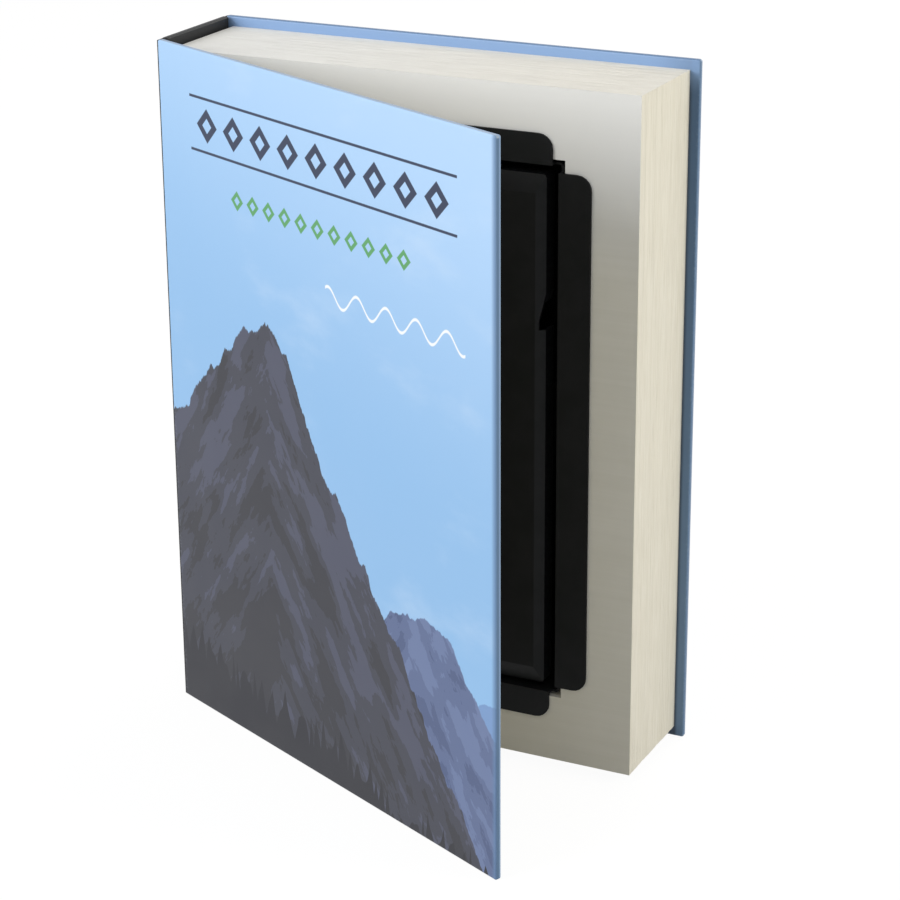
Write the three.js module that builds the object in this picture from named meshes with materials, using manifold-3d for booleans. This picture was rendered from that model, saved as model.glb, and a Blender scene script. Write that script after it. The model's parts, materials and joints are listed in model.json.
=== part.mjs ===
// Book diversion safe: a hardcover book of real paper that stands on its tail edge with the front
// cover ajar. Its page block is cut out around a steel box with a hinged lid and a cam lock.
// Millimetres, +Z up. X runs from the spine to the fore edge, Y from the front to the back.

import * as THREE from 'three';
import { mergeVertices } from 'three/addons/utils/BufferGeometryUtils.js';
import Module from 'manifold-3d';

const wasm = await Module();
wasm.setup();

// Case: boards, paper and the flexible joints
const bookHeight = 240;
const bookWidth = 176;
const boardThick = 1.6;
const paperThick = 0.2;
const paperGap = 0.1;
const square = 3.5;
const turnIn = 3.2;
const endpaperGap = 0.3;
const stripThick = 0.3;
const stripGap = 0.3;
const ajarAngle = 25;
const spineHollow = 0.8;
const liningThick = 0.5;
const liningShort = 6;

// Page block
const leafThick = 0.3;
const blockThick = 40.8;

// Steel box, its flanges and its place in the pages
const sheet = 0.7;
const boxSpineMargin = 25.7;
const boxForeMargin = 27.3;
const boxHeadMargin = 25;
const boxTailMargin = 25.4;
const pagesBehindBox = 4.7;
const sideFlange = 11.2;
const endFlange = 10;
const flangeRadius = 5;
const flangeNotch = 2.2;
const cornerReliefDepth = 2.5;
const wallRadius = 1.5;
const pocketGap = 1.2;
const pocketFloorGap = 0.3;
const closedGap = 0.3;
const tapeThick = 0.2;
const tapeInset = 1.5;

// Lid
const lidRecess = 0.2;
const panelRise = 2;
const lidFreeGap = 5;
const lidHeadGap = 3.7;
const lidTailGap = 2;
const skirtDepth = 6.3;
const endBevel = 6;
const sideBevel = 3;
const hingeRim = 15;
const lidRadius = 1.2;
const bevelShift = 0.45;
const reliefDepth = 2;
const reliefHeight = 12.3;
const reliefSlope = 9.5;
const reliefFromHead = 39.3;

// Butt hinges of the lid
const pinRadius = 0.75;
const pinClearance = 0.25;
const leafPlate = 0.7;
const leafWidth = 13;
const hingeHeight = 34;
const hingeFromEnd = 39.3;
const knuckleGap = 0.4;
const pinHeadRadius = 1.2;
const pinHeadThick = 0.6;

// Rivets
const rivetRadius = 1.5;
const rivetHeadRadius = 2.6;
const rivetHeadThick = 0.8;
const rivetHoleGap = 0.25;
const rivetEdge = 5;

// Cam lock
const lockInset = 27.4;
const dimpleRadius = 12;
const dimpleFloorRadius = 10.4;
const dimpleDepth = 2.3;
const dimpleWall = 0.95;
const bezelRadius = 9.8;
const bezelThick = 1.4;
const barrelRadius = 8;
const barrelFlat = 6.8;
const barrelLength = 15;
const barrelHoleGap = 0.3;
const washerThick = 0.6;
const washerRadius = 10.2;
const nutThick = 3;
const nutAcrossFlats = 20;
const plugRadius = 5;
const plugGap = 0.3;
const plugProud = 0.4;
const plugSink = 0.2;
const keywayWidth = 1.4;
const keywayHeight = 6.4;
const keywayDepth = 9;
const studSide = 6;
const studGap = 0.15;
const camThick = 2;
const camReach = 30.1;
const camHubRadius = 7.5;
const camTipWidth = 10;
const camTipRadius = 2;
const screwRadius = 1.8;
const screwHeadRadius = 4.6;
const screwHeadThick = 2;
const screwLength = 8;
const screwSlot = 1.1;

// Catch that the cam turns behind
const catchThick = 1.2;
const catchLip = 9;
const catchLeg = 10;
const catchHeight = 26;
const catchGap = 0.3;

// Facets, how far a cutting shape reaches past what it cuts, and how far joined shapes overlap
const fineSides = 32;
const coarseSides = 16;
const cornerSteps = 5;
const overshoot = 1;
const overlap = 0.5;
const leastRadius = 0.1;

// Depths from the closed cover's outer face to the back cover's outer face
const coverThick = boardThick + 2 * (paperThick + paperGap);
const flangeFront = coverThick + closedGap;
const flangeBack = flangeFront + sheet;
const leafFront = flangeBack + tapeThick;
const pagesFront = leafFront + leafThick;
const pagesBack = leafFront + blockThick;
const bookThick = pagesBack + coverThick;
const pocketFloor = pagesBack - pagesBehindBox;
const boxBack = pocketFloor - pocketFloorGap;
const boxFloor = boxBack - sheet;
const lidFront = flangeFront + lidRecess;
const rimFront = lidFront + panelRise;
const rimBack = rimFront + sheet;
const skirtEnd = rimFront + skirtDepth;

// Places across the book, from the spine's outer face to the fore edge
const coverStart = stripThick + stripGap;
const pagesStart = coverThick + spineHollow + liningThick;
const pagesEnd = bookWidth - square;
const boxEnd = pagesEnd - boxForeMargin;
const boxStart = pagesStart + boxSpineMargin;
const lidEnd = boxEnd - lidFreeGap;

// Heights
const pagesTail = square;
const pagesHead = bookHeight - square;
const boxTail = pagesTail + boxTailMargin;
const boxHead = pagesHead - boxHeadMargin;
const boxMiddle = (boxTail + boxHead) / 2;
const lidTail = boxTail + lidTailGap;
const lidHead = boxHead - lidHeadGap;

// Axes of the joints
const creaseX = stripThick / 2;
const spineCreaseY = coverThick + stripGap + stripGap / 2;
const coverCreaseY = stripThick / 2;
const spinePanelStart = spineCreaseY + stripGap;
const knuckleRadius = pinRadius + pinClearance + leafPlate;
const hingeX = boxStart + knuckleRadius;
const hingeY = rimBack + leafPlate - knuckleRadius;
const lidStart = hingeX + knuckleRadius + knuckleGap;
const panelStart = lidStart + hingeRim;
const lockX = lidEnd - lockInset;
const lockZ = boxMiddle;

// The dimple's cone reaches out in front of the lid, so that it cuts cleanly
const dimpleMouth = lidFront - overshoot;
const dimpleSlope = (dimpleRadius - dimpleFloorRadius) / dimpleDepth;
const dimpleMouthRadius = dimpleRadius + overshoot * dimpleSlope;

// Depths of the lock
const dimpleFloor = lidFront + dimpleDepth;
const dimpleBack = dimpleFloor + sheet;
const bezelFront = dimpleFloor - bezelThick;
const washerBack = dimpleBack + washerThick;
const barrelEnd = dimpleFloor + barrelLength;
const camFront = barrelEnd + plugProud;
const camBack = camFront + camThick;
const studEnd = camBack - plugSink;
const catchBack = camFront - catchGap;

// Closed solids from three.js geometry and back
function solid(geometry) {
  const bare = geometry.clone();
  bare.deleteAttribute('normal');
  bare.deleteAttribute('uv');
  const merged = mergeVertices(bare, 1e-4);
  const mesh = new wasm.Mesh({
    numProp: 3,
    vertProperties: new Float32Array(merged.attributes.position.array),
    triVerts: new Uint32Array(merged.index.array),
  });
  return new wasm.Manifold(mesh);
}

function geometryOf(shape) {
  const mesh = shape.getMesh();
  const geometry = new THREE.BufferGeometry();
  geometry.setAttribute('position', new THREE.BufferAttribute(mesh.vertProperties, 3));
  geometry.setIndex(new THREE.BufferAttribute(mesh.triVerts, 1));
  geometry.computeVertexNormals();
  return geometry;
}

function block(x0, x1, y0, y1, z0, z1) {
  const geometry = new THREE.BoxGeometry(x1 - x0, y1 - y0, z1 - z0);
  geometry.translate((x0 + x1) / 2, (y0 + y1) / 2, (z0 + z1) / 2);
  return geometry;
}

function cutter(x0, x1, y0, y1, z0, z1) {
  return solid(block(x0, x1, y0, y1, z0, z1));
}

function rodAlongX(x0, x1, y, z, radius, sides = coarseSides) {
  const geometry = new THREE.CylinderGeometry(radius, radius, x1 - x0, sides);
  geometry.rotateZ(Math.PI / 2);
  geometry.translate((x0 + x1) / 2, y, z);
  return solid(geometry);
}

function rodAlongY(y0, y1, x, z, radius, sides = fineSides) {
  const geometry = new THREE.CylinderGeometry(radius, radius, y1 - y0, sides);
  geometry.translate(x, (y0 + y1) / 2, z);
  return solid(geometry);
}

function rodAlongZ(z0, z1, x, y, radius, sides = coarseSides) {
  const geometry = new THREE.CylinderGeometry(radius, radius, z1 - z0, sides);
  geometry.rotateX(Math.PI / 2);
  geometry.translate(x, y, (z0 + z1) / 2);
  return solid(geometry);
}

function coneAlongY(y0, radius0, y1, radius1, x, z) {
  const geometry = new THREE.CylinderGeometry(radius1, radius0, y1 - y0, fineSides);
  geometry.translate(x, (y0 + y1) / 2, z);
  return solid(geometry);
}

// A flat outline of X and Z, with a radius for each corner in the order
// tail-left, tail-right, head-right, head-left
function outline(x0, x1, z0, z1, radii) {
  const corners = [[x0, z0, 1, 1], [x1, z0, -1, 1], [x1, z1, -1, -1], [x0, z1, 1, -1]];
  const points = corners.flatMap(([x, z, inwardX, inwardZ], i) => {
    const r = radii[i];
    if (r <= 0) return [new THREE.Vector2(x, z)];
    const centre = new THREE.Vector2(x + inwardX * r, z + inwardZ * r);
    return Array.from({ length: cornerSteps + 1 }, (_, step) => {
      const angle = Math.PI + (i + step / cornerSteps) * Math.PI / 2;
      return new THREE.Vector2(r * Math.cos(angle), r * Math.sin(angle)).add(centre);
    });
  });
  return new THREE.Shape(points);
}

// A plate of that outline between two depths
function plate(shape, y0, y1) {
  const options = { depth: y1 - y0, bevelEnabled: false, curveSegments: cornerSteps };
  const geometry = new THREE.ExtrudeGeometry(shape, options);
  geometry.rotateX(Math.PI / 2);
  geometry.translate(0, y1, 0);
  return geometry;
}

// A prism along X from points of Z and Y, and one along Z from points of X and Y
function prismAlongX(points, x0, x1) {
  const shape = new THREE.Shape(points.map(([z, y]) => new THREE.Vector2(-z, y)));
  const geometry = new THREE.ExtrudeGeometry(shape, { depth: x1 - x0, bevelEnabled: false });
  geometry.rotateY(Math.PI / 2);
  geometry.translate(x0, 0, 0);
  return solid(geometry);
}

function prismAlongZ(points, z0, z1) {
  const shape = new THREE.Shape(points.map(([x, y]) => new THREE.Vector2(x, y)));
  const geometry = new THREE.ExtrudeGeometry(shape, { depth: z1 - z0, bevelEnabled: false });
  geometry.translate(0, 0, z0);
  return solid(geometry);
}

// What a slanted cut takes off along an edge. side is 1 at the high edge and -1 at the low one.
function wedge(edge, side, width, front, back) {
  const rise = (back - front) / 2;
  const past = edge + side * width / 2;
  return [[edge - side * width * 1.5, front - rise], [past, back + rise], [past, front - rise]];
}

// A plate with slanted edges on all four sides. It runs on a little behind, into what it joins.
function bevelledPlate([x0, x1], [z0, z1], radii, front, back, sideWidth, endWidth) {
  let shape = solid(plate(outline(x0, x1, z0, z1, radii), front, back + overlap));
  for (const [edge, side] of [[x0, -1], [x1, 1]]) {
    const cut = wedge(edge, side, sideWidth, front, back);
    shape = shape.subtract(prismAlongZ(cut, z0 - overshoot, z1 + overshoot));
  }
  for (const [edge, side] of [[z0, -1], [z1, 1]]) {
    const cut = wedge(edge, side, endWidth, front, back);
    shape = shape.subtract(prismAlongX(cut, x0 - overshoot, x1 + overshoot));
  }
  return shape;
}

// Colours and finishes
const finish = (color, roughness, metalness) => ({ color, roughness, metalness });
const finishes = {
  greyboard: finish(0x9a958c, 0.95, 0),
  coverPaper: finish(0x93bfe8, 0.45, 0),
  spineCloth: finish(0x1d1e20, 0.6, 0),
  endpaper: finish(0xe2e0d6, 0.9, 0),
  lining: finish(0xb9a98a, 0.9, 0),
  pages: finish(0xe4e0d0, 0.95, 0),
  tape: finish(0xd8d2bd, 0.8, 0),
  blackSteel: finish(0x1a1a1b, 0.45, 0.1),
  zincSteel: finish(0xa9abad, 0.35, 0.9),
  chrome: finish(0xc8cacc, 0.15, 1),
  brass: finish(0xb08d4a, 0.3, 1),
};

function piece(name, geometry, look) {
  const material = new THREE.MeshStandardMaterial({ ...finishes[look], flatShading: true });
  const mesh = new THREE.Mesh(geometry, material);
  mesh.name = name;
  return mesh;
}

// Paper folded round a board, open where the endpaper lies. face says which side that is.
function wrap(low, high, face) {
  const spans = low.map((v, i) => [v, high[i]]);
  const hollow = spans.map(([a, b]) => [a + paperThick, b - paperThick]);
  const inward = paperThick + paperGap;
  const window = spans.map(([a, b], i) => {
    if (i !== face.axis) return [a + turnIn, b - turnIn];
    return face.side > 0 ? [b - inward, b + overshoot] : [a - overshoot, a + inward];
  });
  const folded = solid(block(...spans.flat())).subtract(cutter(...hollow.flat()));
  return folded.subtract(cutter(...window.flat()));
}

function boardIn(low, high) {
  const inset = paperThick + paperGap;
  return block(...low.map((v, i) => [v + inset, high[i] - inset]).flat());
}

function endpaperIn(low, high, face) {
  const inset = turnIn + endpaperGap;
  return block(...low.map((v, i) => {
    if (i !== face.axis) return [v + inset, high[i] - inset];
    return face.side > 0 ? [high[i] - paperThick, high[i]] : [v, v + paperThick];
  }).flat());
}

// Front cover, built closed and turned about its crease
function frontCover() {
  const low = [coverStart, 0, 0];
  const high = [bookWidth, coverThick, bookHeight];
  const inner = { axis: 1, side: 1 };
  const closed = new THREE.Group();
  closed.position.set(-creaseX, -coverCreaseY, 0);
  closed.add(piece('front_board', boardIn(low, high), 'greyboard'));
  closed.add(piece('front_cover_wrap', geometryOf(wrap(low, high, inner)), 'coverPaper'));
  closed.add(piece('front_endpaper', endpaperIn(low, high, inner), 'endpaper'));
  const cover = new THREE.Group();
  cover.position.set(creaseX, coverCreaseY, 0);
  cover.rotation.z = -THREE.MathUtils.degToRad(ajarAngle);
  cover.add(closed);
  return cover;
}

function backCover() {
  const low = [coverStart, bookThick - coverThick, 0];
  const high = [bookWidth, bookThick, bookHeight];
  const inner = { axis: 1, side: -1 };
  const cover = new THREE.Group();
  cover.add(piece('back_board', boardIn(low, high), 'greyboard'));
  cover.add(piece('back_cover_wrap', geometryOf(wrap(low, high, inner)), 'coverPaper'));
  cover.add(piece('back_endpaper', endpaperIn(low, high, inner), 'endpaper'));
  return cover;
}

// Spine board in its black covering, and the two flexible strips beside it
function spine() {
  const low = [0, spinePanelStart, 0];
  const high = [coverThick, bookThick - spinePanelStart, bookHeight];
  const strip = (name, y0, y1) => {
    return piece(name, block(0, stripThick, y0, y1, stripGap, bookHeight - stripGap), 'spineCloth');
  };
  const group = new THREE.Group();
  group.add(piece('spine_board', boardIn(low, high), 'greyboard'));
  group.add(piece('spine_cover', geometryOf(wrap(low, high, { axis: 0, side: 1 })), 'spineCloth'));
  group.add(strip('front_joint_strip', stripGap, spineCreaseY));
  group.add(strip('back_joint_strip', bookThick - spineCreaseY, bookThick - stripGap));
  return group;
}

// Pages with the pocket for the box
function pages() {
  const pocket = [boxStart - sheet - pocketGap, boxEnd + sheet + pocketGap];
  const pocketHeights = [boxTail - sheet - pocketGap, boxHead + sheet + pocketGap];
  const hole = cutter(...pocket, 0, pocketFloor, ...pocketHeights);
  const stack = solid(block(pagesStart, pagesEnd, pagesFront, pagesBack, pagesTail, pagesHead));
  const leaf = solid(block(pagesStart, pagesEnd, leafFront, pagesFront, pagesTail, pagesHead));
  const liningTail = pagesTail + liningShort;
  const liningHead = pagesHead - liningShort;
  const liningStart = pagesStart - liningThick;
  const lining = block(liningStart, pagesStart, leafFront, pagesBack, liningTail, liningHead);
  const group = new THREE.Group();
  group.add(piece('page_block', geometryOf(stack.subtract(hole)), 'pages'));
  group.add(piece('front_flyleaf', geometryOf(leaf.subtract(hole)), 'pages'));
  group.add(piece('spine_lining', lining, 'lining'));
  return group;
}

// The four flanges, each as [name, x0, x1, z0, z1, corner radii]
function flanges() {
  const r = flangeRadius;
  const x = [boxStart - sideFlange, boxStart + flangeNotch, boxEnd - flangeNotch, boxEnd + sideFlange];
  const z = [boxTail - endFlange, boxTail + flangeNotch, boxHead - flangeNotch, boxHead + endFlange];
  return [
    ['head', x[1], x[2], boxHead, z[3], [0, 0, r, r]],
    ['tail', x[1], x[2], z[0], boxTail, [r, r, 0, 0]],
    ['spine_side', x[0], boxStart, z[1], z[2], [r, 0, 0, r]],
    ['fore_side', boxEnd, x[3], z[1], z[2], [0, r, r, 0]],
  ];
}

function tapes() {
  return flanges().map(([name, x0, x1, z0, z1, radii]) => {
    const inset = { x0: tapeInset, x1: tapeInset, z0: tapeInset, z1: tapeInset };
    if (name === 'head') inset.z0 = sheet + pocketGap;
    if (name === 'tail') inset.z1 = sheet + pocketGap;
    if (name === 'spine_side') inset.x1 = sheet + pocketGap;
    if (name === 'fore_side') inset.x0 = sheet + pocketGap;
    const smaller = radii.map((r) => Math.max(0, r - tapeInset));
    const shape = outline(x0 + inset.x0, x1 - inset.x1, z0 + inset.z0, z1 - inset.z1, smaller);
    return piece(`mounting_tape_${name}`, plate(shape, flangeBack, leafFront), 'tape');
  });
}

// Heights of the two hinges' middles, and of the rivets about each
const hingeMiddles = { upper: boxHead - hingeFromEnd, lower: boxTail + hingeFromEnd };
const rivetOffset = hingeHeight / 2 - rivetEdge;
const rivetPlaces = { a: -rivetOffset, b: rivetOffset };
const boxRivetY = hingeY + leafWidth - rivetEdge;
const lidRivetX = hingeX + leafWidth - rivetEdge;
const catchRivetOffset = catchHeight / 2 - rivetEdge;
const catchRivetY = catchBack - catchThick - rivetEdge;
const rivetHole = rivetRadius + rivetHoleGap;

// The walls are cut lower at the box's corners, between the flanges
function boxBody() {
  const walls = [boxStart - sheet, boxEnd + sheet, boxTail - sheet, boxHead + sheet];
  const corners = Array(4).fill(wallRadius);
  const innerCorners = Array(4).fill(Math.max(leastRadius, wallRadius - sheet));
  const inside = outline(boxStart, boxEnd, boxTail, boxHead, innerCorners);
  const room = solid(plate(inside, flangeFront - overshoot, boxFloor));
  let body = solid(plate(outline(...walls, corners), flangeFront, boxBack));
  for (const [, x0, x1, z0, z1, radii] of flanges()) {
    body = body.add(solid(plate(outline(x0, x1, z0, z1, radii), flangeFront, flangeBack)));
  }
  body = body.subtract(room);
  for (const x of [boxStart, boxEnd]) {
    for (const z of [boxTail, boxHead]) {
      body = body.subtract(cutter(
        x - flangeNotch, x + flangeNotch, flangeFront - overshoot, flangeFront + cornerReliefDepth,
        z - flangeNotch, z + flangeNotch));
    }
  }
  for (const middle of Object.values(hingeMiddles)) {
    for (const offset of Object.values(rivetPlaces)) {
      const wall = [boxStart - sheet - overshoot, boxStart + overshoot];
      body = body.subtract(rodAlongX(...wall, boxRivetY, middle + offset, rivetHole));
    }
  }
  for (const side of [-1, 1]) {
    const wall = [boxEnd - overshoot, boxEnd + sheet + overshoot];
    const height = boxMiddle + side * catchRivetOffset;
    body = body.subtract(rodAlongX(...wall, catchRivetY, height, rivetHole));
  }
  return piece('box_body', geometryOf(body), 'blackSteel');
}

// A round piece about the Y axis from pairs of radius and height
function turned(profile, sides) {
  return new THREE.LatheGeometry(profile.map(([r, y]) => new THREE.Vector2(r, y)), sides);
}

// A rivet with a low head at each end, built along Y from y = 0 to the grip's length
function rivetGeometry(grip) {
  const head = rivetHeadRadius;
  const crown = head * 0.6;
  const lip = rivetHeadThick * 0.4;
  const profile = [
    [0, -rivetHeadThick], [crown, -rivetHeadThick], [head, -lip], [head, 0], [rivetRadius, 0],
    [rivetRadius, grip], [head, grip], [head, grip + lip], [crown, grip + rivetHeadThick],
    [0, grip + rivetHeadThick],
  ];
  return turned(profile, coarseSides);
}

function rivetAlongX(name, x0, x1, y, z) {
  const geometry = rivetGeometry(x1 - x0);
  geometry.rotateZ(-Math.PI / 2);
  geometry.translate(x0, y, z);
  return piece(name, geometry, 'blackSteel');
}

function rivetAlongY(name, y0, y1, x, z) {
  const geometry = rivetGeometry(y1 - y0);
  geometry.translate(x, y0, z);
  return piece(name, geometry, 'blackSteel');
}

// Knuckle heights of a hinge: the outer two are on the box's leaf, the middle one on the lid's
function knuckles(middle) {
  const low = middle - hingeHeight / 2;
  const high = middle + hingeHeight / 2;
  const each = (hingeHeight - 2 * knuckleGap) / 3;
  return {
    outer: [[low, low + each], [high - each, high]],
    centre: [[low + each + knuckleGap, high - each - knuckleGap]],
  };
}

function pinBore(middle) {
  const half = hingeHeight / 2 + overshoot;
  return rodAlongZ(middle - half, middle + half, hingeX, hingeY, pinRadius + pinClearance);
}

function boxLeaf(middle) {
  const x0 = boxStart;
  const x1 = boxStart + leafPlate;
  const plateY = hingeY + knuckleRadius + knuckleGap;
  const [low, high] = [middle - hingeHeight / 2, middle + hingeHeight / 2];
  let leaf = cutter(x0, x1, plateY, hingeY + leafWidth, low, high);
  for (const [z0, z1] of knuckles(middle).outer) {
    leaf = leaf.add(cutter(x0, x1, hingeY, plateY + overlap, z0, z1));
    leaf = leaf.add(rodAlongZ(z0, z1, hingeX, hingeY, knuckleRadius));
  }
  leaf = leaf.subtract(pinBore(middle));
  for (const offset of Object.values(rivetPlaces)) {
    const through = [x0 - overshoot, x1 + overshoot];
    leaf = leaf.subtract(rodAlongX(...through, boxRivetY, middle + offset, rivetHole));
  }
  return geometryOf(leaf);
}

function lidLeaf(middle) {
  const plateX = lidStart;
  const [low, high] = [middle - hingeHeight / 2, middle + hingeHeight / 2];
  const back = rimBack + leafPlate;
  let leaf = cutter(plateX, hingeX + leafWidth, rimBack, back, low, high);
  for (const [z0, z1] of knuckles(middle).centre) {
    leaf = leaf.add(cutter(hingeX, plateX + overlap, rimBack, back, z0, z1));
    leaf = leaf.add(rodAlongZ(z0, z1, hingeX, hingeY, knuckleRadius));
  }
  leaf = leaf.subtract(pinBore(middle));
  return geometryOf(withLidRivetHoles(leaf, middle, back));
}

// The rivet holes through the lid and the leaf under it, one hinge at a time
function withLidRivetHoles(shape, middle, back) {
  let drilled = shape;
  for (const offset of Object.values(rivetPlaces)) {
    const through = [rimFront - overshoot, back + overshoot];
    const hole = rodAlongY(...through, lidRivetX, middle + offset, rivetHole, coarseSides);
    drilled = drilled.subtract(hole);
  }
  return drilled;
}

function hingePin(middle) {
  const half = hingeHeight / 2 + knuckleGap / 2;
  const profile = [
    [0, -half - pinHeadThick], [pinHeadRadius, -half - pinHeadThick], [pinHeadRadius, -half],
    [pinRadius, -half], [pinRadius, half], [pinHeadRadius, half],
    [pinHeadRadius, half + pinHeadThick], [0, half + pinHeadThick],
  ];
  const geometry = turned(profile, coarseSides);
  geometry.rotateX(Math.PI / 2);
  geometry.translate(hingeX, hingeY, middle);
  return geometry;
}

// What the hinges fix to the box, and what they fix to the lid
function boxHingeParts() {
  const parts = [];
  for (const [name, middle] of Object.entries(hingeMiddles)) {
    parts.push(piece(`${name}_hinge_box_leaf`, boxLeaf(middle), 'blackSteel'));
    parts.push(piece(`${name}_hinge_pin`, hingePin(middle), 'zincSteel'));
    for (const [letter, offset] of Object.entries(rivetPlaces)) {
      const rivetName = `${name}_box_leaf_rivet_${letter}`;
      const grip = [boxStart - sheet, boxStart + leafPlate];
      parts.push(rivetAlongX(rivetName, ...grip, boxRivetY, middle + offset));
    }
  }
  return parts;
}

function lidHingeParts() {
  const parts = [];
  for (const [name, middle] of Object.entries(hingeMiddles)) {
    parts.push(piece(`${name}_hinge_lid_leaf`, lidLeaf(middle), 'blackSteel'));
    for (const [letter, offset] of Object.entries(rivetPlaces)) {
      const rivetName = `${name}_lid_leaf_rivet_${letter}`;
      const grip = [rimFront, rimBack + leafPlate];
      parts.push(rivetAlongY(rivetName, ...grip, lidRivetX, middle + offset));
    }
  }
  return parts;
}

// Catch bracket, its lip just in front of the turned cam
function lockCatch() {
  const [low, high] = [boxMiddle - catchHeight / 2, boxMiddle + catchHeight / 2];
  const leg = cutter(boxEnd - catchThick, boxEnd, catchBack - catchLeg, catchBack, low, high);
  const lip = cutter(boxEnd - catchLip, boxEnd, catchBack - catchThick, catchBack, low, high);
  let bracket = leg.add(lip);
  const parts = [];
  for (const [letter, side] of [['a', -1], ['b', 1]]) {
    const z = boxMiddle + side * catchRivetOffset;
    const through = [boxEnd - catchThick - overshoot, boxEnd + overshoot];
    const grip = [boxEnd - catchThick, boxEnd + sheet];
    bracket = bracket.subtract(rodAlongX(...through, catchRivetY, z, rivetHole));
    parts.push(rivetAlongX(`catch_rivet_${letter}`, ...grip, catchRivetY, z));
  }
  parts.push(piece('lock_catch', geometryOf(bracket), 'blackSteel'));
  return parts;
}

// Lid: a sheet pan with a raised panel, bevels, a turned-down rim on three sides and a lock dimple
function lid() {
  const hole = rodAlongY(lidFront, dimpleBack + overshoot, lockX, lockZ, barrelRadius + barrelHoleGap);
  const half = barrelFlat + barrelHoleGap;
  const flats = cutter(lockX - half, lockX + half, lidFront, skirtEnd, lidTail, lidHead);
  const dimple = coneAlongY(dimpleMouth, dimpleMouthRadius, dimpleFloor, dimpleFloorRadius, lockX, lockZ);
  let pan = lidOutside().subtract(dimple).subtract(lidInside());
  pan = pan.subtract(hole.intersect(flats)).subtract(edgeRelief());
  for (const middle of Object.values(hingeMiddles)) {
    pan = withLidRivetHoles(pan, middle, rimBack);
  }
  return piece('lid', geometryOf(pan), 'blackSteel');
}

function lidOutside() {
  const radii = [0, lidRadius, lidRadius, 0];
  const rim = plate(outline(lidStart, lidEnd, lidTail, lidHead, radii), rimFront, skirtEnd);
  const panel = bevelledPlate(
    [panelStart, lidEnd], [lidTail, lidHead], radii, lidFront, rimFront, sideBevel, endBevel);
  return solid(rim).add(panel);
}

// The room behind the sheet, with the lock's dimple left standing in it
function lidInside() {
  const radii = [0, lidRadius - sheet, lidRadius - sheet, 0];
  const [low, high, end] = [lidTail + sheet, lidHead - sheet, lidEnd - sheet];
  const rim = outline(lidStart - overshoot, end, low, high, radii);
  const behindRim = solid(plate(rim, rimBack, skirtEnd + overshoot));
  const behindPanel = bevelledPlate(
    [panelStart + sheet, end], [low, high], radii, lidFront + sheet, rimBack,
    sideBevel - bevelShift, endBevel - bevelShift);
  const shell = coneAlongY(
    lidFront, dimpleRadius + dimpleWall, dimpleBack, dimpleFloorRadius + dimpleWall, lockX, lockZ);
  return behindRim.add(behindPanel).subtract(shell);
}

// The small relief in the lid's free edge, with a slanted upper flank
function edgeRelief() {
  const tail = lidHead - reliefFromHead - reliefHeight;
  const past = lidEnd + overshoot;
  const shape = new THREE.Shape([
    new THREE.Vector2(lidEnd - reliefDepth, tail),
    new THREE.Vector2(past, tail),
    new THREE.Vector2(past, tail + reliefHeight + reliefSlope * overshoot / reliefDepth),
    new THREE.Vector2(lidEnd, tail + reliefHeight),
    new THREE.Vector2(lidEnd - reliefDepth, tail + reliefHeight - reliefSlope),
  ]);
  return solid(plate(shape, 0, skirtEnd + overshoot));
}

// Lock parts that stay with the lid
function lockBarrel() {
  const bore = plugRadius + plugGap;
  const chamfer = bezelThick / 3;
  const profile = [
    [bore, bezelFront], [bezelRadius - chamfer, bezelFront], [bezelRadius, bezelFront + chamfer],
    [bezelRadius, dimpleFloor], [barrelRadius, dimpleFloor], [barrelRadius, barrelEnd],
    [bore, barrelEnd], [bore, bezelFront],
  ];
  const geometry = turned(profile, fineSides);
  geometry.translate(lockX, 0, lockZ);
  const head = cutter(
    lockX - bezelRadius, lockX + bezelRadius, bezelFront, dimpleFloor,
    lockZ - bezelRadius, lockZ + bezelRadius);
  const betweenFlats = cutter(
    lockX - barrelFlat, lockX + barrelFlat, bezelFront, barrelEnd,
    lockZ - bezelRadius, lockZ + bezelRadius);
  return piece('lock_barrel', geometryOf(solid(geometry).intersect(head.add(betweenFlats))), 'chrome');
}

function lockRings() {
  const hole = barrelRadius + barrelHoleGap;
  const corner = nutAcrossFlats / 2 / Math.cos(Math.PI / 6);
  const nut = new THREE.CylinderGeometry(corner, corner, nutThick, 6);
  nut.translate(lockX, washerBack + nutThick / 2, lockZ);
  const nutHole = rodAlongY(washerBack - overshoot, washerBack + nutThick + overshoot, lockX, lockZ, hole);
  const washer = rodAlongY(dimpleBack, washerBack, lockX, lockZ, washerRadius);
  const washerHole = rodAlongY(dimpleBack - overshoot, washerBack + overshoot, lockX, lockZ, hole);
  return [
    piece('lock_nut', geometryOf(solid(nut).subtract(nutHole)), 'zincSteel'),
    piece('lock_washer', geometryOf(washer.subtract(washerHole)), 'zincSteel'),
  ];
}

// Lock parts that turn with the key
function lockPlug() {
  const plugFront = bezelFront + plugSink;
  const stud = lockPrism(studSide / 2, studSide / 2, camFront - overlap, studEnd);
  const keyway = lockPrism(
    keywayWidth / 2, keywayHeight / 2, plugFront - overshoot, plugFront + keywayDepth);
  const tapped = rodAlongY(
    camBack - screwLength - plugSink, studEnd + overshoot, lockX, lockZ, screwRadius + studGap,
    coarseSides);
  const round = rodAlongY(plugFront, camFront, lockX, lockZ, plugRadius);
  const plug = round.add(stud).subtract(keyway).subtract(tapped);
  return piece('lock_plug', geometryOf(plug), 'brass');
}

// A square-edged shape about the lock's axis
function lockPrism(halfX, halfZ, y0, y1) {
  return cutter(lockX - halfX, lockX + halfX, y0, y1, lockZ - halfZ, lockZ + halfZ);
}

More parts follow.
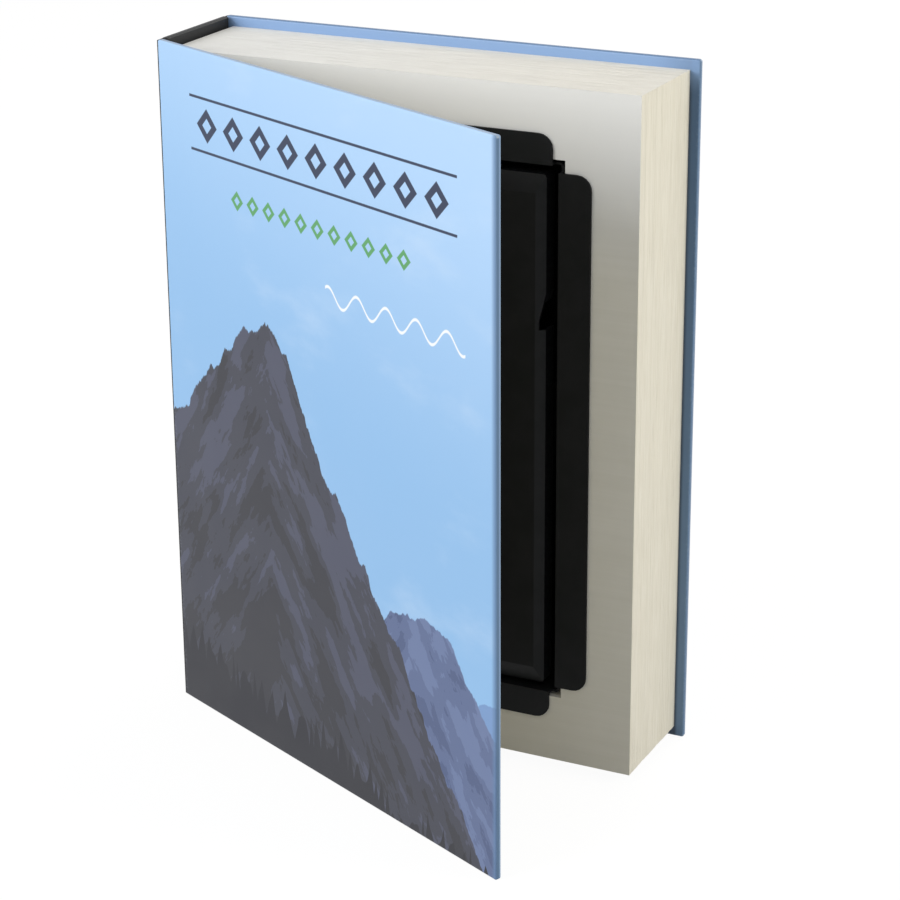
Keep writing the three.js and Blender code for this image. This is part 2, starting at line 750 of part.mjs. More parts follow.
function lockCam() {
  const [left, right] = [lockX - camTipWidth / 2 + camTipRadius, lockX + camTipWidth / 2 - camTipRadius];
  const tip = lockZ - camReach + camTipRadius;
  const shape = new THREE.Shape();
  shape.absarc(lockX, lockZ, camHubRadius, 0, Math.PI, false);
  shape.absarc(left, tip, camTipRadius, Math.PI, 1.5 * Math.PI, false);
  shape.absarc(right, tip, camTipRadius, 1.5 * Math.PI, 2 * Math.PI, false);
  shape.closePath();
  const socket = studSide / 2 + studGap;
  const hole = lockPrism(socket, socket, camFront - overshoot, camBack + overshoot);
  return piece('lock_cam', geometryOf(solid(plate(shape, camFront, camBack)).subtract(hole)), 'zincSteel');
}

function camScrew() {
  const headEnd = camBack + screwHeadThick;
  const head = rodAlongY(camBack, headEnd, lockX, lockZ, screwHeadRadius);
  const shankFront = camBack - screwLength;
  const shank = rodAlongY(shankFront, camBack + overlap, lockX, lockZ, screwRadius, coarseSides);
  const slot = lockPrism(
    screwSlot / 2, screwHeadRadius + overshoot, headEnd - screwSlot, headEnd + overshoot);
  return piece('cam_screw', geometryOf(head.add(shank).subtract(slot)), 'zincSteel');
}

// The whole book, with its origin in the middle of the back cover's tail edge
const book = new THREE.Group();
book.position.set(-bookWidth / 2, coverThick / 2 - bookThick, 0);
book.add(backCover(), spine(), pages(), ...tapes(), boxBody(), ...boxHingeParts(), ...lockCatch());
book.add(frontCover());
book.add(lid(), ...lidHingeParts(), lockBarrel(), ...lockRings());
book.add(lockPlug(), lockCam(), camScrew());

const scene = new THREE.Group();
scene.add(book);

export default scene;
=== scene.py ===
"""Looks of the book diversion safe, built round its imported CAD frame. Shapes are in millimetres
in book coordinates: x from the spine's outer face to the fore edge, y from the closed front
cover's outer face to the back cover's outer face, z up from the tail edge. Lamps and materials
are in metres."""

import json
import math

import bpy
import numpy as np
from mathutils import Matrix, Vector, noise


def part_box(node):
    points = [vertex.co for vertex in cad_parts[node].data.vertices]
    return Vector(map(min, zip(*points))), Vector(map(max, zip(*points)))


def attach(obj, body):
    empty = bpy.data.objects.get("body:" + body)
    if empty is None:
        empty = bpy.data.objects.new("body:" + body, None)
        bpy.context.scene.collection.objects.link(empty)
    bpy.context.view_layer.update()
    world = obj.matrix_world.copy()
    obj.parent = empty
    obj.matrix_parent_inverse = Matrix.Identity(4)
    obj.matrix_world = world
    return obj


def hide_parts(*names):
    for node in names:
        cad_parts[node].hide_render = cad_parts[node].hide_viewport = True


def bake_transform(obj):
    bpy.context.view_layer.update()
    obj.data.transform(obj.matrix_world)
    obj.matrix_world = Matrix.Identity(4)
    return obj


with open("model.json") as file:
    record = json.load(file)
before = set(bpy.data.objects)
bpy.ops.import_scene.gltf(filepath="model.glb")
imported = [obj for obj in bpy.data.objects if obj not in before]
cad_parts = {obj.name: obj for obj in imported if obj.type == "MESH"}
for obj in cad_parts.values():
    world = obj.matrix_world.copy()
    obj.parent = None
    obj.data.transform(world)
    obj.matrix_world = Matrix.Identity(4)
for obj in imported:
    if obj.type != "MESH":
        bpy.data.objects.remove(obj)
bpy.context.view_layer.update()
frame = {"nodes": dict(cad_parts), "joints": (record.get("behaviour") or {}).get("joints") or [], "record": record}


MM = 0.001

# Where book coordinates start in the frame: the spine stands midway between the closed covers
(spine_face, spine_front, tail_edge), (_, spine_back, _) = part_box("spine_cover")
_, (_, back_face, _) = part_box("back_cover_wrap")
front_face = spine_front + spine_back - back_face
BOOK_START = [round(value, 6) for value in (spine_face, front_face, tail_edge)]
BOOK = Matrix.Translation(BOOK_START)


def in_book(point):
    """A point of the frame in book coordinates, to a micron."""
    return [round((value - start) / MM, 3) for value, start in zip(point, BOOK_START)]


def book_box(node):
    """Lowest and highest corner of a CAD node in book coordinates."""
    return [in_book(corner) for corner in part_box(node)]


# The case: covers and spine, and the paper folded round them
(COVER_START, back_inside, _), (WIDTH, THICK, HEIGHT) = book_box("back_cover_wrap")
COVER = round(THICK - back_inside, 3)
SPINE_START = book_box("spine_cover")[0][1]
EDGE_RADIUS = 0.6
CORNER_RADIUS = 0.8
SMALLEST_CORNER = 0.25
PAPER = 0.2
TURN_IN = 12.0
SPINE_TURN_IN = 14.0
# How much of the rounded edge is left on the side towards the spine
HINGE_EDGE = 0.2

# The flexible strips between covers and spine, and the crease that the cover turns about
_, (STRIP, SPINE_CREASE, _) = book_box("front_joint_strip")
cover_crease = [joint for joint in frame["joints"] if joint["name"] == "cover_crease"][0]
CREASE = in_book(cover_crease["pos_m"])[:2]
AJAR = -math.radians(cover_crease["range_deg"][0])
STRIP_END = 0.35
# Along y: the ends behind the spine's paper, and where the front's two strips meet
BEHIND_SPINE, STRIPS_MEET = 3.82, 1.4
# Along x: the ends on the covers
ON_COVER = 0.82
# How far from the spine's crease the bend reaches
BEND_REACH = 0.55

# The page block, and its pocket, which no node's box gives
(PAGES_START, PAGES_FRONT, SQUARE), (PAGES_END, PAGES_BACK, PAGES_HEAD) = book_box("page_block")
POCKET_START, POCKET_END = 27.3, 147.1
POCKET_TAIL, POCKET_HEAD = 27.0, 213.4
POCKET_FLOOR = 39.5
GATHERING = 0.25
SIDE_POINTS = 18

# Points of each small arc
ARC_STEPS = 5

AJAR_COVER = (
    BOOK
    @ Matrix.Translation((CREASE[0] * MM, CREASE[1] * MM, 0))
    @ Matrix.Rotation(-AJAR, 4, "Z")
    @ Matrix.Translation((-CREASE[0] * MM, -CREASE[1] * MM, 0))
)


# Camera, lamps and backdrop

# Degrees
AZIMUTH, ELEVATION, ROLL = 26.25, 19.88, -0.39
# Millimetres: how far away, and where the closed book's middle lies from the picture's
DISTANCE, ACROSS, UPWARDS = 908.62, -7.56, 8.16
# Pixels of a picture of IMAGE by IMAGE
IMAGE, FOCAL, SHIFT = 900, 2662.63, -30
SENSOR = 36

WHITE = (1, 1, 1, 1)
# How far the surroundings light the object, and what a white background needs
SOFT_LIGHT = 0.485
BACKGROUND = 1.0
FLOOR_GREY = 0.46
FLOOR_WHITE = 1.12
FLOOR_WHITE_SHARE = 0.85
FLOOR_REACH = 6.0
FLOOR_DROP = 0.0002

# Name, place, size and share of a full plain light, and colour
LAMPS = (
    ("key", (-0.95, -1.5, 0.82), 0.95, 0.66, (1, 1, 1)),
    ("side", (1.00, 0.12, 0.56), 0.4, 0.37, (1, 0.93, 0.70)),
    ("rear", (0.30, 1.55, 0.46), 0.8, 0.34, (1, 1, 1)),
)
LAMP_TARGET = (0, -0.03, 0.12)


def make_camera():
    azimuth, elevation, roll = (math.radians(angle) for angle in (AZIMUTH, ELEVATION, ROLL))
    back = Vector((
        math.sin(azimuth) * math.cos(elevation),
        -math.cos(azimuth) * math.cos(elevation),
        math.sin(elevation),
    ))
    right = Vector((math.cos(azimuth), math.sin(azimuth), 0))
    up = back.cross(right)
    x_axis = right * math.cos(roll) + up * math.sin(roll)
    y_axis = up * math.cos(roll) - right * math.sin(roll)
    middle = BOOK @ (Vector((WIDTH, THICK, HEIGHT)) / 2 * MM)
    place = middle + (back * DISTANCE - x_axis * ACROSS - y_axis * UPWARDS) * MM
    data = bpy.data.cameras.new("camera")
    data.sensor_width = SENSOR
    data.lens = SENSOR * FOCAL / IMAGE
    data.shift_y = SHIFT / IMAGE
    data.clip_start = 0.01
    camera = bpy.data.objects.new("camera", data)
    bpy.context.scene.collection.objects.link(camera)
    turn = Matrix((x_axis, y_axis, back)).transposed().to_4x4()
    camera.matrix_world = Matrix.Translation(place) @ turn
    bpy.context.scene.camera = camera


def make_lamp(name, place, size, share, color):
    """A soft square lamp that adds share of a full plain light where it points."""
    data = bpy.data.lights.new(name, "AREA")
    data.shape = "SQUARE"
    data.size = size
    data.color = color
    towards = Vector(LAMP_TARGET) - Vector(place)
    data.energy = share * math.pi ** 2 * towards.length_squared
    lamp = bpy.data.objects.new(name, data)
    bpy.context.scene.collection.objects.link(lamp)
    lamp.location = place
    lamp.rotation_euler = towards.to_track_quat("-Z", "Y").to_euler()


def seen_directly(tree):
    """1 for camera, glossy and transmission rays, 0 for the rest."""
    path = tree.nodes.new("ShaderNodeLightPath")
    kinds = ("Is Camera Ray", "Is Glossy Ray", "Is Transmission Ray")
    camera, glossy, through = (Wire(tree, path.outputs[kind]) for kind in kinds)
    return camera.maximum(glossy).maximum(through)


def make_world():
    world = bpy.data.worlds.new("studio")
    world.use_nodes = True
    tree = world.node_tree
    tree.nodes.clear()
    soft = plain_light(tree, "ShaderNodeBackground", SOFT_LIGHT)
    white = plain_light(tree, "ShaderNodeBackground", BACKGROUND)
    join(tree, seen_directly(tree), soft, white, "ShaderNodeOutputWorld")
    bpy.context.scene.world = world


def plain_light(tree, kind, strength):
    node = tree.nodes.new(kind)
    node.inputs["Color"].default_value = WHITE
    node.inputs["Strength"].default_value = strength
    return node


def join(tree, factor, first, second, output):
    mixed = tree.nodes.new("ShaderNodeMixShader")
    tree.links.new(factor.socket, mixed.inputs[0])
    tree.links.new(first.outputs[0], mixed.inputs[1])
    tree.links.new(second.outputs[0], mixed.inputs[2])
    end = tree.nodes.new(output)
    tree.links.new(mixed.outputs[0], end.inputs["Surface"])


def make_floor():
    material = bpy.data.materials.new("floor")
    material.use_nodes = True
    tree = material.node_tree
    tree.nodes.clear()
    paper = tree.nodes.new("ShaderNodeBsdfDiffuse")
    paper.inputs["Color"].default_value = (FLOOR_GREY, FLOOR_GREY, FLOOR_GREY, 1)
    white = plain_light(tree, "ShaderNodeEmission", FLOOR_WHITE)
    share = seen_directly(tree) * FLOOR_WHITE_SHARE
    join(tree, share, paper, white, "ShaderNodeOutputMaterial")
    mesh = bpy.data.meshes.new("floor")
    signs = ((-1, -1), (1, -1), (1, 1), (-1, 1))
    mesh.from_pydata([(x * FLOOR_REACH, y * FLOOR_REACH, 0) for x, y in signs], [], [(0, 1, 2, 3)])
    mesh.materials.append(material)
    floor = bpy.data.objects.new("floor", mesh)
    bpy.context.scene.collection.objects.link(floor)
    floor.location.z = -FLOOR_DROP


# Shader helpers

class Wire:
    """A shader socket that sums can be written with."""

    def __init__(self, tree, socket):
        self.tree = tree
        self.socket = socket

    def math(self, operation, *others):
        node = self.tree.nodes.new("ShaderNodeMath")
        node.operation = operation
        for slot, value in zip(node.inputs, (self, *others)):
            if isinstance(value, Wire):
                self.tree.links.new(value.socket, slot)
            else:
                slot.default_value = value
        return Wire(self.tree, node.outputs[0])

    def __add__(self, other):
        return self.math("ADD", other)

    def __sub__(self, other):
        return self.math("SUBTRACT", other)

    def __mul__(self, other):
        return self.math("MULTIPLY", other)

    def __truediv__(self, other):
        return self.math("DIVIDE", other)

    def __lt__(self, other):
        return self.math("LESS_THAN", other)

    def __gt__(self, other):
        return self.math("GREATER_THAN", other)

    def __abs__(self):
        return self.math("ABSOLUTE")

    def maximum(self, other):
        return self.math("MAXIMUM", other)

    def minimum(self, other):
        return self.math("MINIMUM", other)

    def ramp(self, low, high, to_low=0.0, to_high=1.0):
        """A smooth step from low to high."""
        node = self.tree.nodes.new("ShaderNodeMapRange")
        node.interpolation_type = "SMOOTHSTEP"
        self.tree.links.new(self.socket, node.inputs["Value"])
        for name, value in zip(
            ("From Min", "From Max", "To Min", "To Max"), (low, high, to_low, to_high)
        ):
            node.inputs[name].default_value = value
        return Wire(self.tree, node.outputs["Result"])


def linear(rgb):
    """A colour of 0 to 255 as the shader wants it."""
    shares = [value / 255 for value in rgb]
    out = [
        share / 12.92 if share <= 0.04045 else ((share + 0.055) / 1.055) ** 2.4
        for share in shares
    ]
    return (*out, 1)


def color_socket(sockets, name):
    """The socket for colours among those of one name that a mix node has."""
    return [socket for socket in sockets if socket.name == name and socket.type == "RGBA"][0]


class Finish:
    """A material with one principled shader, and tools to feed it. x, y and z are in metres: in
    book coordinates on the pieces made here, and in the frame's on CAD nodes."""

    def __init__(self, name, roughness, metallic=0.0, specular=0.5):
        self.material = bpy.data.materials.new(name)
        self.material.use_nodes = True
        self.tree = self.material.node_tree
        self.tree.nodes.clear()
        self.shader = self.tree.nodes.new("ShaderNodeBsdfPrincipled")
        self.shader.inputs["Metallic"].default_value = metallic
        self.shader.inputs["Roughness"].default_value = roughness
        self.shader.inputs["Specular IOR Level"].default_value = specular
        end = self.tree.nodes.new("ShaderNodeOutputMaterial")
        self.tree.links.new(self.shader.outputs[0], end.inputs["Surface"])
        coordinates = self.tree.nodes.new("ShaderNodeTexCoord")
        self.here = coordinates.outputs["Object"]
        split = self.tree.nodes.new("ShaderNodeSeparateXYZ")
        self.tree.links.new(self.here, split.inputs[0])
        self.x, self.y, self.z = (Wire(self.tree, split.outputs[i]) for i in range(3))

    def noise(self, per_metre, detail, rough=0.5, distortion=0.0, turn=0.0):
        """Noise with so many features a metre along each axis, the axes turned about Y."""
        mapping = self.tree.nodes.new("ShaderNodeMapping")
        mapping.vector_type = "TEXTURE"
        mapping.inputs["Rotation"].default_value = (0, turn, 0)
        mapping.inputs["Scale"].default_value = [1 / count for count in per_metre]
        self.tree.links.new(self.here, mapping.inputs["Vector"])
        node = self.tree.nodes.new("ShaderNodeTexNoise")
        node.inputs["Scale"].default_value = 1.0
        node.inputs["Detail"].default_value = detail
        node.inputs["Roughness"].default_value = rough
        node.inputs["Distortion"].default_value = distortion
        self.tree.links.new(mapping.outputs[0], node.inputs["Vector"])
        return Wire(self.tree, node.outputs[0])

    def noise_along(self, wire, detail=6.0, rough=0.55):
        """Noise of one value, such as the height of a ridge along x."""
        node = self.tree.nodes.new("ShaderNodeTexNoise")
        node.noise_dimensions = "1D"
        node.inputs["Scale"].default_value = 1.0
        node.inputs["Detail"].default_value = detail
        node.inputs["Roughness"].default_value = rough
        self.tree.links.new(wire.socket, node.inputs["W"])
        return Wire(self.tree, node.outputs[0])

    def mix(self, factor, first, second):
        """Colours are sockets or lists of 0 to 255."""
        node = self.tree.nodes.new("ShaderNodeMix")
        node.data_type = "RGBA"
        self.tree.links.new(factor.socket, node.inputs["Factor"])
        for name, value in (("A", first), ("B", second)):
            slot = color_socket(node.inputs, name)
            if isinstance(value, (list, tuple)):
                slot.default_value = linear(value)
            else:
                self.tree.links.new(value, slot)
        return color_socket(node.outputs, "Result")

    def color(self, socket):
        self.tree.links.new(socket, self.shader.inputs["Base Color"])

    def roughness(self, wire):
        self.tree.links.new(wire.socket, self.shader.inputs["Roughness"])

    def bump(self, *heights):
        """Each height is a wire and its size in millimetres."""
        normal = None
        for wire, size in heights:
            node = self.tree.nodes.new("ShaderNodeBump")
            node.inputs["Strength"].default_value = 1.0
            node.inputs["Distance"].default_value = size * MM
            self.tree.links.new(wire.socket, node.inputs["Height"])
            if normal:
                self.tree.links.new(normal, node.inputs["Normal"])
            normal = node.outputs[0]
        self.tree.links.new(normal, self.shader.inputs["Normal"])


# Finishes

# Colours of 0 to 255
SKY_TOP, SKY_LOW = (184, 216, 250), (149, 192, 234)
# The last of these is painted light: the front cover's fold at the head, lighter than its other folds for the
# light falling on it from above
PLAIN_BLUE, EDGE_BLUE, PAINTED_LIGHT_HEAD_FOLD = (142, 173, 215), (104, 134, 173), (160, 181, 208)
# Painted shade for the back cover's strip beside the pages: its tail end, its head end, and a painted contact
# shadow next to the pages
PAINTED_SHADE_TAIL, PAINTED_SHADE_HEAD, PAINTED_CONTACT_SHADOW = (110, 137, 168), (80, 108, 141), (66, 81, 99)
CLOUD, WORN, SPINE_BLACK = (214, 231, 250), (205, 218, 232), (26, 27, 29)
FAR_HILLS = (126, 158, 204)
MIDDLE_HILLS = ((86, 99, 134), (99, 113, 149), (112, 127, 164))
NEAR_HILLS = ((58, 59, 66), (68, 70, 81), (81, 84, 101))
FIRS, DARK_INK, GREEN_INK, WHITE_INK = (48, 49, 56), (54, 63, 86), (98, 162, 106), (246, 249, 252)

# The print in metres: peaks and spans along x, rules and ribbon along z
MIDDLE_PEAK, NEAR_PEAK = 0.132, 0.058
RULES, RULE_SPAN = (0.2245, 0.2065), (0.0185, 0.1585)
RIBBON, RIBBON_SWING, RIBBON_SPAN = 0.1730, 0.0030, (0.092, 0.162)
LOZENGES_MIDDLE = 0.0885
# How soft the print's outlines are
BLUR = 0.0003
# A cover's spine side: where the black hairline fades out, and where its wear is measured from
HAIRLINE = (0.0008, 0.0009)
WEAR_START = 0.0013

# Features a metre of the fine noise on film and covering
FINE = (900, 900, 900)


def film_bump(finish):
    """The slight waviness of paper glued to board, under a plastic film."""
    finish.bump((finish.noise((26, 26, 26), 2), 0.10), (finish.noise(FINE, 2), 0.006))


def printed_cover():
    """Sky with thin cloud over dark hills, under rows of plain ornaments."""
    finish = Finish("printed_cover", roughness=0.38, specular=0.28)
    sky = finish.mix((finish.z + finish.x * 0.28).ramp(0.15, 0.30), SKY_LOW, SKY_TOP)
    cloud = finish.noise((16, 1, 34), 5, 0.55).ramp(0.52, 0.80) * finish.z.ramp(0.03, 0.10)
    sky = finish.mix(cloud * 0.42, sky, CLOUD)

    far = finish.noise_along(finish.x * 21 + 3.1) * 0.026 + 0.044
    middle = finish.noise_along(finish.x * 26 + 9.7) * 0.032 + 0.062
    middle = middle - abs(finish.x - MIDDLE_PEAK) * 0.55
    near = finish.noise_along(finish.x * 34 + 5.3, 8, 0.6) * 0.030 + 0.142
    near = near - (finish.x - NEAR_PEAK).maximum(0.0) * 1.40
    near = near - (finish.x * -1.0 + NEAR_PEAK).maximum(0.0) * 0.80
    picture = finish.mix((far - finish.z).ramp(-BLUR, BLUR), sky, FAR_HILLS)
    picture = slopes(finish, picture, middle, MIDDLE_PEAK, (110, 1, 34), MIDDLE_HILLS)
    picture = slopes(finish, picture, near, NEAR_PEAK, (95, 1, 26), NEAR_HILLS)
    stems = finish.x * 175 + finish.noise_along(finish.x * 45 + 2.2, 2) * 5.0
    tips = abs(stems.math("FRACT") - 0.5) * -2.0 + 1.0
    trees = tips * finish.noise_along(finish.x * 95 + 1.7, 2) * 0.022
    trees = trees + finish.noise_along(finish.x * 17, 3) * 0.034 - finish.x * 0.13
    picture = finish.mix((trees - finish.z).ramp(-BLUR, BLUR), picture, FIRS)

    picture = lozenges(finish, picture, 0.2155, 0.0058, 9, DARK_INK)
    picture = lozenges(finish, picture, 0.1935, 0.0034, 11, GREEN_INK)
    for height in RULES:
        rule = abs(finish.z - height).ramp(0.0003, 0.0006, 1.0, 0.0)
        picture = finish.mix(rule * between(finish, *RULE_SPAN), picture, DARK_INK)
    swing = (finish.x * 420).math("SINE") * RIBBON_SWING
    ribbon = abs(finish.z - RIBBON - swing).ramp(0.0003, 0.0007, 1.0, 0.0)
    picture = finish.mix(ribbon * between(finish, *RIBBON_SPAN), picture, WHITE_INK)

    picture = worn_edges(finish, picture)
    free_edge = finish.x.ramp(0.1736, 0.1757, 0.0, 0.8)
    picture = finish.mix(free_edge, picture, EDGE_BLUE)
    # Painted light: the fold at the head is painted lighter than the other folds, for the light from above
    at_head = finish.z.ramp(0.2388, 0.2394)
    fold = finish.mix(at_head, EDGE_BLUE, PAINTED_LIGHT_HEAD_FOLD)
    picture = wrapped(finish, finish.y, picture, fold, PLAIN_BLUE, 0.00125)
    finish.color(black_spine_side(finish, picture))
    finish.roughness(finish.noise((45, 45, 45), 3).ramp(0.3, 0.7, 0.34, 0.44))
    film_bump(finish)
    return finish.material


def wrapped(finish, depth, face, fold, turned_in, start):
    """A cover's tones by the depth from its outer face: the face, the folded edge, and from start
    on the turned-in paper."""
    colour = finish.mix(depth.ramp(0.0003, 0.0005), face, fold)
    return finish.mix(depth.ramp(start, start + 0.00015), colour, turned_in)


def worn_edges(finish, colour):
    """A cover's edges, faintly rubbed."""
    worn = edge_distance(finish).ramp(0.0, 0.0012, 1.0, 0.0)
    return finish.mix(worn * finish.noise(FINE, 3).ramp(0.45, 0.75) * 0.10, colour, WORN)


def black_spine_side(finish, colour):
    """The spine's covering shows as a hairline where it meets a cover."""
    return finish.mix(finish.x.ramp(*HAIRLINE, 1.0, 0.0), colour, SPINE_BLACK)


def slopes(finish, picture, ridge, peak, grain, tones):
    """Everything under a ridge in three flat tones, as a screen print has them. The tones run
    down both sides of the peak."""
    left, right = finish.noise(grain, 5, 0.6, turn=0.6), finish.noise(grain, 5, 0.6, turn=-0.6)
    side = finish.x.ramp(peak - 0.006, peak + 0.006)
    facets = left + (right - left) * side + (finish.z - ridge) * 0.9
    colour = finish.mix(facets.ramp(0.400, 0.412), tones[0], tones[1])
    colour = finish.mix(facets.ramp(0.500, 0.512), colour, tones[2])
    return finish.mix((ridge - finish.z).ramp(-BLUR, BLUR), picture, colour)


def between(finish, start, end):
    """1 from start to end along x, and 0 beyond."""
    return (finish.x > start) * (finish.x < end)


def lozenges(finish, picture, height, half, count, colour):
    """A row of an odd number of hollow diamonds across the cover. half is half a diamond."""
    pitch = half * 2.6
    start, end = LOZENGES_MIDDLE - count * pitch / 2, LOZENGES_MIDDLE + count * pitch / 2
    across = abs(((finish.x - LOZENGES_MIDDLE) / pitch + 0.5).math("FRACT") - 0.5) * pitch
    inside = (across + abs(finish.z - height)).ramp(half - 0.0002, half + 0.0002, 1.0, 0.0)
    outside_heart = (across + abs(finish.z - height)).ramp(half * 0.42, half * 0.42 + BLUR)
    return finish.mix(inside * outside_heart * between(finish, start, end), picture, colour)


def edge_distance(finish):
    """Metres from the nearest edge of a cover, its spine side's taken at WEAR_START."""
    sides = (finish.x - WEAR_START).minimum(finish.x * -1.0 + WIDTH * MM)
    return sides.minimum(finish.z).minimum(finish.z * -1.0 + HEIGHT * MM)


def plain_cover():
    """Plain blue paper, with painted shade on the strip beside the pages' fore edge."""
    finish = Finish("blue_cover_paper", roughness=0.38, specular=0.28)
    tone = finish.noise((14, 14, 14), 4).ramp(0.3, 0.7)
    blue = finish.mix(tone, PLAIN_BLUE, (145, 176, 218))
    # Painted shade: the pages' shadow on the strip, painted lighter towards the tail for light coming up from the
    # floor
    painted_shade = finish.mix(finish.z.ramp(0.0, HEIGHT * MM), PAINTED_SHADE_TAIL, PAINTED_SHADE_HEAD)
    # Painted contact shadow right next to the pages
    past_pages = finish.x.ramp(0.1725, 0.1738)
    painted_shade = finish.mix(past_pages, PAINTED_CONTACT_SHADOW, painted_shade)
    # The painted shadow lies along the strip beside the fore edge and mostly leaves it alone above the pages' head
    pages_shadow = finish.x.ramp(0.158, 0.1740) * finish.z.ramp(0.228, 0.2385, 1.0, 0.25)
    turned_in = finish.mix(pages_shadow, PLAIN_BLUE, painted_shade)
    blue = wrapped(finish, finish.y * -1.0 + THICK * MM, blue, EDGE_BLUE, turned_in, 0.0020)
    finish.color(black_spine_side(finish, worn_edges(finish, blue)))
    film_bump(finish)
    return finish.material


def spine_covering():
    finish = Finish("spine_covering", roughness=0.5, specular=0.27)
    tone = finish.noise(FINE, 3).ramp(0.35, 0.7)
    finish.color(finish.mix(tone, (27, 28, 30), (33, 34, 36)))
    finish.bump((finish.noise((1400, 1400, 1400), 3), 0.03), (finish.noise((60, 60, 30), 2), 0.03))
    return finish.material


def endpaper():
    finish = Finish("endpaper", roughness=0.85, specular=0.25)
    tone = finish.noise((60, 60, 60), 5).ramp(0.3, 0.7)
    finish.color(finish.mix(tone, (224, 222, 212), (229, 227, 218)))
    finish.bump((finish.noise((2200, 2200, 2200), 3), 0.012), (finish.noise((20, 20, 20), 2), 0.05))
    return finish.material


def page_edges():
    """Trimmed leaves: fine streaks along the leaves, plainer on the head than on the fore edge,
    and less cream towards the spine."""
    finish = Finish("page_edges", roughness=0.9, specular=0.2)
    fine = finish.noise((90, 5200, 90), 3, 0.6)
    middle = finish.noise((46, 2300, 46), 4, 0.6, 0.35)
    broad = finish.noise((14, 700, 14), 2, 0.5)
    on_fore_edge = finish.x.ramp(0.170, 0.1722, 0.45, 1.0)
    streak = (fine * 0.5 + middle * 0.38 + broad * 0.12 - 0.5) * on_fore_edge + 0.5
    cream = finish.mix(streak.ramp(0.34, 0.62), (229, 226, 217), (246, 244, 239))
    patch = finish.noise((25, 25, 25), 3).ramp(0.35, 0.75)
    cream = finish.mix(patch * 0.3, cream, (239, 236, 228))
    towards_spine = finish.x.ramp(0.02, 0.16, 0.5, 0.0)
    finish.color(finish.mix(towards_spine, cream, (246, 248, 250)))
    finish.bump((fine, 0.03), (middle, 0.04))
    return finish.material


def leaf_paper():
    """The first leaf, cream, with painted light at its head: whiter there, for the neutral light from above."""
    finish = Finish("leaf_paper", roughness=0.88, specular=0.2)
    tone = finish.noise((40, 40, 40), 4) * 0.6 + finish.noise((9, 9, 520), 3, 0.6) * 0.4
    cream = finish.mix(tone.ramp(0.34, 0.66), (228, 226, 216), (233, 231, 222))
    # Painted light: the head painted whiter and cooler, for the neutral light falling on it from above, and the
    # cream below
    painted_light_at_head = finish.z.ramp(0.170, 0.212, 0.0, 0.75)
    finish.color(finish.mix(painted_light_at_head, cream, (229, 230, 230)))
    finish.bump((finish.noise((2400, 2400, 2400), 3), 0.01), (finish.noise((22, 22, 15), 2), 0.12))
    return finish.material


def greyboard():
    finish = Finish("greyboard", roughness=0.95, specular=0.1)
    tone = finish.noise((900, 900, 300), 5).ramp(0.35, 0.7)
    finish.color(finish.mix(tone, (136, 130, 122), (164, 158, 149)))
    finish.bump((finish.noise((1200, 1200, 500), 4), 0.05))
    return finish.material


def lining():
    """Gauze glued over the pages' backs."""
    finish = Finish("spine_lining", roughness=0.9, specular=0.15)
    threads = (finish.y * 5200).math("SINE").maximum((finish.z * 5200).math("SINE")) * 0.5 + 0.5
    finish.color(finish.mix(threads * 0.8, (150, 136, 108), (204, 194, 168)))
    finish.bump((threads, 0.08))
    return finish.material


def tape():
    finish = Finish("tape", roughness=0.6, specular=0.3)
    tone = finish.noise((400, 400, 400), 3).ramp(0.3, 0.7)
    finish.color(finish.mix(tone, (206, 200, 180), (218, 212, 193)))
    finish.bump((finish.noise((700, 700, 700), 2), 0.02))
    return finish.material


def powder_coat():
    """Satin black paint with the fine orange peel of powder coating."""
    finish = Finish("powder_coat", roughness=0.42, specular=0.10)
    tone = finish.noise((90, 90, 90), 4).ramp(0.3, 0.7)
    finish.color(finish.mix(tone, (26, 28, 29), (31, 32, 34)))
    finish.roughness(finish.noise((500, 500, 500), 3).ramp(0.3, 0.7, 0.34, 0.48))
    finish.bump((finish.noise((1100, 1100, 1100), 2), 0.022))
    return finish.material


def zinc():
    finish = Finish("zinc", roughness=0.3, metallic=1.0)
    tone = finish.noise((180, 180, 180), 4, 0.6, 0.5).ramp(0.35, 0.7)
    finish.color(finish.mix(tone, (166, 170, 176), (196, 194, 186)))
    finish.roughness(finish.noise((1200, 1200, 300), 3).ramp(0.3, 0.7, 0.24, 0.42))
    finish.bump((finish.noise((2400, 2400, 400), 2), 0.006))
    return finish.material


def nickel():
    """Bright nickel with the fine rings of a lathe round the lock's axis."""
    finish = Finish("nickel", roughness=0.2, metallic=1.0)
    low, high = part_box("lock_plug")
    across, above = finish.x - (low[0] + high[0]) / 2, finish.z - (low[2] + high[2]) / 2
    radius = (across * across + above * above).math("SQRT")
    rings = finish.noise_along(radius * 5200, 2)
    finish.color(finish.mix(rings.ramp(0.3, 0.7), (172, 175, 180), (206, 207, 209)))
    finish.roughness(rings.ramp(0.3, 0.7, 0.14, 0.30))
    finish.bump((rings, 0.006), (finish.noise((600, 600, 600), 2), 0.003))
    return finish.material


def brass():
    finish = Finish("brass", roughness=0.24, metallic=1.0)
    tone = finish.noise((300, 300, 300), 4).ramp(0.35, 0.7)
    finish.color(finish.mix(tone, (168, 134, 72), (196, 162, 96)))
    finish.roughness(finish.noise((1400, 200, 1400), 3).ramp(0.3, 0.7, 0.18, 0.32))
    finish.bump((finish.noise((2000, 200, 2000), 2), 0.005))
    return finish.material


# Mesh helpers

def make_piece(name, points, faces, material, matrix=BOOK, sharp=40):
    """A mesh from points in millimetres, with even shading across its large flat faces."""
    mesh = bpy.data.meshes.new(name)
    mesh.from_pydata([Vector(point) * MM for point in points], [], faces)
    mesh.validate()
    mesh.materials.append(material)
    mesh.shade_smooth()
    mesh.set_sharp_from_angle(angle=math.radians(sharp))
    piece = bpy.data.objects.new(name, mesh)
    bpy.context.scene.collection.objects.link(piece)
    piece.matrix_world = matrix
    even_normals(piece)
    return piece


